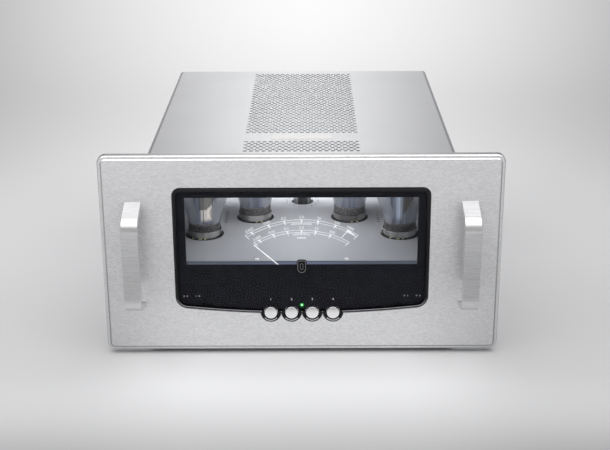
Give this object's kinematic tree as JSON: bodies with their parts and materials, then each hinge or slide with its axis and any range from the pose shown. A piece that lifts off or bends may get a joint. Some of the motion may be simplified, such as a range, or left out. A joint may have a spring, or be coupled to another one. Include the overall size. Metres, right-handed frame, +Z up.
{
  "type": "power amplifier",
  "caption": "Mono valve power amplifier: thick silver front panel with bar handles, black-framed meter window over glowing valves, perforated cover, rear fans and terminals.",
  "frame": {"origin": "centre of the footprint's bounding box, on the surface the feet stand on", "axes": "+X to the right seen from the front, +Y from the front panel to the back, +Z up"},
  "size_m": [0.438, 0.506, 0.2327],
  "materials": {
    "brushed_face": "horizontally brushed, clear anodised",
    "brushed_handle": "cross brushed, clear anodised",
    "blasted_case": "bead blasted, clear anodised",
    "plated_sheet": "zinc-plated sheet",
    "deck_metal": "satin, cool grey",
    "label_plate": "satin, warm white",
    "gloss_black": "polished black",
    "mask_black": "black print behind clear plate",
    "clear_plate": "polished clear",
    "matte_black": "fine texture",
    "needle_white": "lit white",
    "lamp_white": "frosted",
    "lamp_green": "lit green",
    "lamp_grey": "frosted, unlit",
    "button_metal": "polished face",
    "circuit_board": "solder mask",
    "foot_rubber": "matte",
    "screw_steel": "plated",
    "socket_ceramic": "glazed ceramic",
    "collar_metal": "nickel-plated collar",
    "valve_glass": "clear blown glass",
    "anode_metal": "carbonised grey",
    "capacitor_sleeve": "shrink sleeve",
    "core_steel": "varnished laminations",
    "winding_wrap": "insulating tape",
    "plated_brass": "gold plated"
  },
  "bodies": {
    "chassis": {"front_panel": "brushed_face", "handle_left": "brushed_handle", "handle_right": "brushed_handle", "top_cover": "blasted_case", "side_panel_left": "blasted_case", "side_panel_right": "blasted_case", "rear_panel": "blasted_case", "base_plate": "plated_sheet", "front_subpanel": "plated_sheet", "deck_plate": "deck_metal", "label_plate": "label_plate", "window_bezel": "gloss_black", "display_mask": "mask_black", "pivot_badge": "gloss_black", "display_glass": "clear_plate", "meter_scale_plate": "clear_plate", "meter_movement": "matte_black", "scale_lamps": "lamp_white", "status_led": "lamp_green", "monitor_leds": "lamp_grey", "button_switches": "matte_black", "control_board": "circuit_board", "valve_board": "circuit_board", "supply_board": "circuit_board", "feet": "foot_rubber", "base_fasteners": "screw_steel", "chassis_screws": "screw_steel", "front_screws": "screw_steel", "board_spacers": "screw_steel", "tube_sockets": "socket_ceramic", "power_tube_bases": "collar_metal", "power_tube_glass": "valve_glass", "driver_tube_glass": "valve_glass", "tube_plates": "anode_metal", "filter_capacitors": "capacitor_sleeve", "power_transformer_core": "core_steel", "output_transformer_core": "core_steel", "power_transformer_windings": "winding_wrap", "output_transformer_windings": "winding_wrap", "fan_frames": "matte_black", "fan_guards": "screw_steel", "mains_inlet": "matte_black", "fuse_holder": "matte_black", "trigger_jacks": "matte_black", "rca_input": "plated_brass", "xlr_input": "matte_black", "binding_posts": "plated_brass"},
    "button_power": {"button_power": "button_metal"},
    "button_light": {"button_light": "button_metal"},
    "button_monitor": {"button_monitor": "button_metal"},
    "button_mode": {"button_mode": "button_metal"},
    "meter_needle": {"meter_needle": "needle_white"},
    "fan_rotor_left": {"fan_rotor_left": "matte_black"},
    "fan_rotor_right": {"fan_rotor_right": "matte_black"},
    "fuse_cap": {"fuse_cap": "matte_black"},
    "post_nut_1": {"post_nut_1": "plated_brass"},
    "post_nut_2": {"post_nut_2": "plated_brass"},
    "post_nut_3": {"post_nut_3": "plated_brass"},
    "post_nut_4": {"post_nut_4": "plated_brass"}
  },
  "joints": [
    {"name": "button_power_press", "type": "slide", "parent": "chassis", "child": "button_power", "axis": [0, 1, 0], "range_m": [0, 0.0015], "stiffness_N_per_m": 400, "springref_m": -0.001},
    {"name": "button_light_press", "type": "slide", "parent": "chassis", "child": "button_light", "axis": [0, 1, 0], "range_m": [0, 0.0015], "stiffness_N_per_m": 400, "springref_m": -0.001},
    {"name": "button_monitor_press", "type": "slide", "parent": "chassis", "child": "button_monitor", "axis": [0, 1, 0], "range_m": [0, 0.0015], "stiffness_N_per_m": 400, "springref_m": -0.001},
    {"name": "button_mode_press", "type": "slide", "parent": "chassis", "child": "button_mode", "axis": [0, 1, 0], "range_m": [0, 0.0015], "stiffness_N_per_m": 400, "springref_m": -0.001},
    {"name": "needle_swing", "type": "hinge", "parent": "chassis", "child": "meter_needle", "pos_m": [0, -0.2089, 0.0823], "axis": [0, 1, 0], "range_deg": [0, 97], "stiffness_Nm_per_rad": 0.0004, "springref_deg": -22.92},
    {"name": "fan_spin_left", "type": "hinge", "parent": "chassis", "child": "fan_rotor_left", "pos_m": [-0.108, 0.215, 0.1602], "axis": [0, 1, 0], "continuous": true},
    {"name": "fan_spin_right", "type": "hinge", "parent": "chassis", "child": "fan_rotor_right", "pos_m": [0.108, 0.215, 0.1602], "axis": [0, 1, 0], "continuous": true},
    {"name": "fuse_cap_turn", "type": "hinge", "parent": "chassis", "child": "fuse_cap", "pos_m": [0.084, 0.232, 0.0542], "axis": [0, 1, 0], "range_deg": [-90, 0]},
    {"name": "post_nut_1_turn", "type": "hinge", "parent": "chassis", "child": "post_nut_1", "pos_m": [-0.084, 0.245, 0.0542], "axis": [0, 1, 0], "continuous": true},
    {"name": "post_nut_2_turn", "type": "hinge", "parent": "chassis", "child": "post_nut_2", "pos_m": [-0.104, 0.245, 0.0542], "axis": [0, 1, 0], "continuous": true},
    {"name": "post_nut_3_turn", "type": "hinge", "parent": "chassis", "child": "post_nut_3", "pos_m": [-0.124, 0.245, 0.0542], "axis": [0, 1, 0], "continuous": true},
    {"name": "post_nut_4_turn", "type": "hinge", "parent": "chassis", "child": "post_nut_4", "pos_m": [-0.144, 0.245, 0.0542], "axis": [0, 1, 0], "continuous": true}
  ]
}
